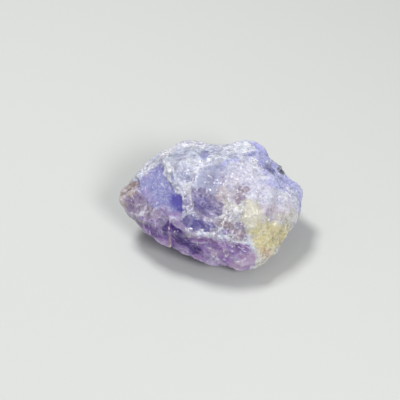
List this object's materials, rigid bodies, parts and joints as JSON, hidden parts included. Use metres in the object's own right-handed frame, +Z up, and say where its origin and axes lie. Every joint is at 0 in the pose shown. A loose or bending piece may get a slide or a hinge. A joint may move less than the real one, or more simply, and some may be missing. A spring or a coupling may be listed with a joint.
{
  "type": "hackmanite crystal",
  "caption": "Rough violet sodalite stone, a broken chunk with ledges, a glassy face and a frosted dome, resting on a small flat spot.",
  "frame": {"origin": "on the resting surface, under the middle of the stone's box", "axes": "+X along the stone's length towards its blunt right end, +Y away from the viewer, +Z up"},
  "size_m": [0.038, 0.027, 0.0195],
  "materials": {
    "hackmanite": "rough broken surface, frosted over most of it, glassy on the fresh faces"
  },
  "bodies": {
    "root": {"hackmanite_crystal": "hackmanite"}
  },
  "joints": []
}
